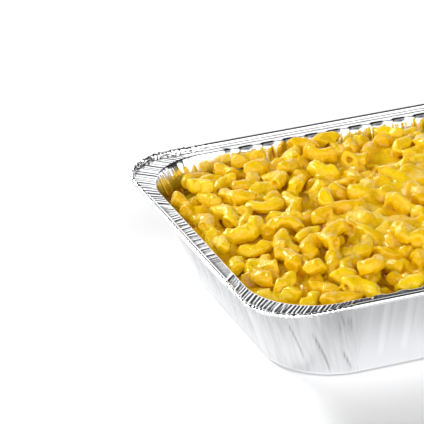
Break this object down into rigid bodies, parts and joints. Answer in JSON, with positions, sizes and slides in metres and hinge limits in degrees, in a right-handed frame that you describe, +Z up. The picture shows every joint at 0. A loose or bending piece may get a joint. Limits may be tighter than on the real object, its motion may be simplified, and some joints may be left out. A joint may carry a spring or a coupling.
{
  "type": "foil tray meal",
  "caption": "Deep half-size foil pan with fluted walls, crimped corners and a rolled rim, filled to the rim with elbow macaroni in cheese sauce.",
  "frame": {"origin": "centre of the pan's underside, on the surface it stands on", "axes": "+X along the long side, +Y towards the far long side, +Z up"},
  "size_m": [0.325, 0.264, 0.0715],
  "materials": {
    "foil": "bright rolled foil",
    "cheese_macaroni": "glossy cheese sauce"
  },
  "bodies": {
    "root": {"tray": "foil", "macaroni": "cheese_macaroni"}
  },
  "joints": []
}
